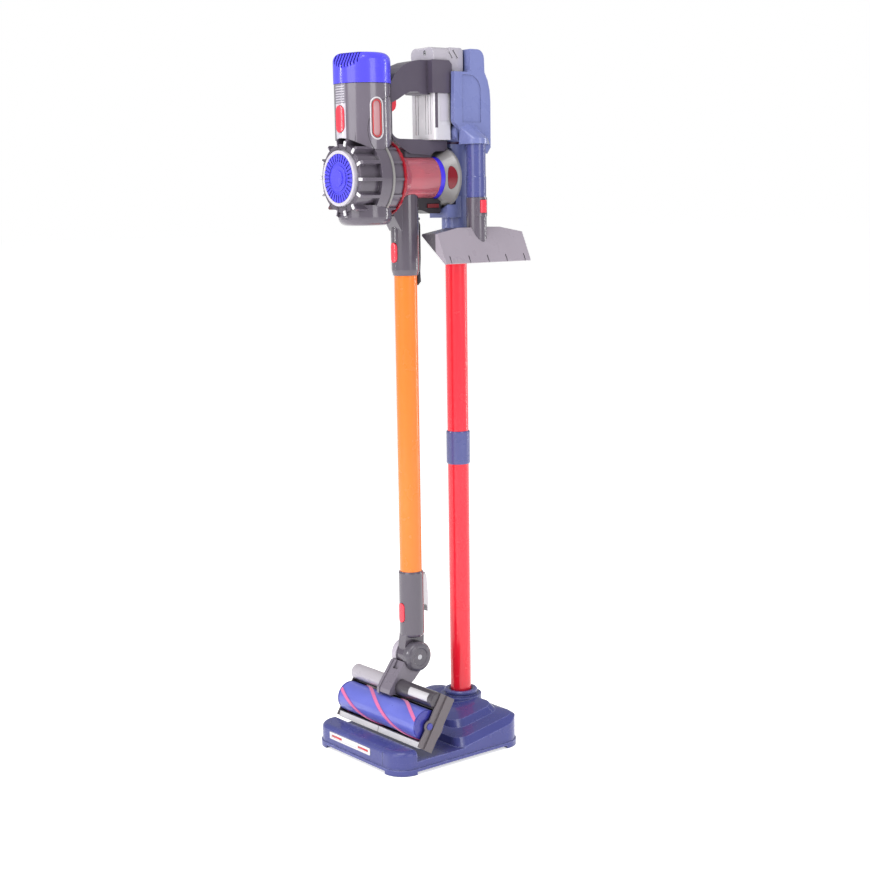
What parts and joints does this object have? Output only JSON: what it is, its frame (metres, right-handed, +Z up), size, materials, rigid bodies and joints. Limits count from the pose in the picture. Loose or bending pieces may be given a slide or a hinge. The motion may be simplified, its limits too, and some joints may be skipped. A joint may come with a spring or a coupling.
{
  "type": "toy vacuum cleaner",
  "caption": "Toy stick vacuum cleaner with a roller head, hanging in the dock of its pole stand, with a wide nozzle tool on the dock's side peg.",
  "frame": {"origin": "middle of the stand base's flat underside, on the ground", "axes": "+Z up, the cleaner's front faces -Y, +X to the right seen from the front"},
  "size_m": [0.17, 0.2246, 0.803],
  "materials": {
    "blue": "gloss",
    "violet": "gloss",
    "pole_red": "gloss",
    "orange": "gloss",
    "dark": "satin",
    "grey": "satin",
    "silver": "silver paint, satin",
    "white": "satin",
    "button_red": "gloss",
    "dark_red": "gloss",
    "badge": "gloss",
    "clear_red": "translucent",
    "mesh_red": "satin",
    "clear_blue": "translucent",
    "pink": "plush strip",
    "navy": "gloss",
    "plate": "satin",
    "steel": "zinc plated",
    "rubber": "matt",
    "cell": "gloss"
  },
  "bodies": {
    "stand": {"stand_base": "blue", "base_cover": "blue", "base_pads": "rubber", "base_screws": "steel", "label_plate": "white", "lower_pole": "pole_red", "pole_coupler": "blue", "upper_pole": "pole_red", "dock_shell": "blue", "tool_peg": "blue", "dock_screws": "steel"},
    "cleaner": {"motor_housing": "dark", "front_strip": "silver", "side_badges": "badge", "cyclone_drum": "dark", "fin_tips": "silver", "seam_ring": "grey", "filter_ring": "silver", "filter_disc": "violet", "dust_bin": "clear_red", "bin_mesh": "mesh_red", "bin_band": "violet", "bin_cap": "grey", "bin_lens": "button_red", "bin_hinge": "dark", "handle_left": "dark", "handle_right": "dark", "battery_case": "silver", "battery_rails": "dark", "battery_panels": "grey", "battery_cells": "cell", "battery_screws": "steel", "inlet_collar": "dark", "motor": "steel", "wand": "orange", "lower_collar": "dark"},
    "head": {"pivot_pin": "steel", "joint_drum": "grey", "head_neck": "dark", "head_bar": "grey", "head_shell": "dark", "end_plate_left": "plate", "end_plate_right": "plate", "head_strip": "white"},
    "roller": {"roller": "clear_blue", "roller_strips": "pink", "roller_ends": "navy"},
    "fan": {"fan": "grey"},
    "power_button": {"power_button": "button_red"},
    "filter_cap": {"filter_cap": "violet"},
    "trigger": {"trigger": "button_red"},
    "bin_release": {"bin_release": "dark_red"},
    "inlet_button": {"inlet_button": "button_red"},
    "inlet_lever": {"inlet_lever": "dark"},
    "collar_button": {"collar_button": "button_red"},
    "collar_lever": {"collar_lever": "grey"},
    "nozzle": {"nozzle_neck": "dark", "nozzle_hood": "grey"},
    "nozzle_button": {"nozzle_button": "button_red"}
  },
  "joints": [
    {"name": "lift_out", "type": "slide", "parent": "stand", "child": "cleaner", "axis": [0, -0.9063, 0.4226], "range_m": [0, 0.2]},
    {"name": "head_tilt", "type": "hinge", "parent": "cleaner", "child": "head", "pos_m": [0, -0.009, 0.113], "axis": [-1, 0, 0], "range_deg": [0, 45]},
    {"name": "roller_spin", "type": "hinge", "parent": "head", "child": "roller", "pos_m": [0, -0.046, 0.0515], "axis": [1, 0, 0], "continuous": true},
    {"name": "fan_spin", "type": "hinge", "parent": "cleaner", "child": "fan", "pos_m": [0, -0.0615, 0.75], "axis": [0, 0, 1], "continuous": true},
    {"name": "power_press", "type": "slide", "parent": "cleaner", "child": "power_button", "axis": [0, 1, 0], "range_m": [0, 0.0015], "stiffness_N_per_m": 600},
    {"name": "trigger_pull", "type": "slide", "parent": "cleaner", "child": "trigger", "axis": [0, 0, 1], "range_m": [0, 0.003], "stiffness_N_per_m": 400},
    {"name": "cap_off", "type": "slide", "parent": "cleaner", "child": "filter_cap", "axis": [0, 0, 1], "range_m": [0, 0.04]},
    {"name": "bin_release_press", "type": "slide", "parent": "cleaner", "child": "bin_release", "axis": [-1, 0, 0], "range_m": [0, 0.001], "stiffness_N_per_m": 600},
    {"name": "inlet_press", "type": "slide", "parent": "cleaner", "child": "inlet_button", "axis": [0, 1, 0], "range_m": [0, 0.0012], "stiffness_N_per_m": 600},
    {"name": "inlet_lever_swing", "type": "hinge", "parent": "cleaner", "child": "inlet_lever", "pos_m": [0, 0.0095, 0.6185], "axis": [1, 0, 0], "range_deg": [0, 5], "stiffness_Nm_per_rad": 0.5},
    {"name": "collar_press", "type": "slide", "parent": "cleaner", "child": "collar_button", "axis": [0, 1, 0], "range_m": [0, 0.0012], "stiffness_N_per_m": 600},
    {"name": "collar_lever_swing", "type": "hinge", "parent": "cleaner", "child": "collar_lever", "pos_m": [0, 0.0085, 0.2045], "axis": [1, 0, 0], "range_deg": [0, 5], "stiffness_Nm_per_rad": 0.5},
    {"name": "nozzle_off", "type": "slide", "parent": "stand", "child": "nozzle", "axis": [0, 0, -1], "range_m": [0, 0.07]},
    {"name": "nozzle_press", "type": "slide", "parent": "nozzle", "child": "nozzle_button", "axis": [-1, 0, 0], "range_m": [0, 0.0012], "stiffness_N_per_m": 600}
  ]
}
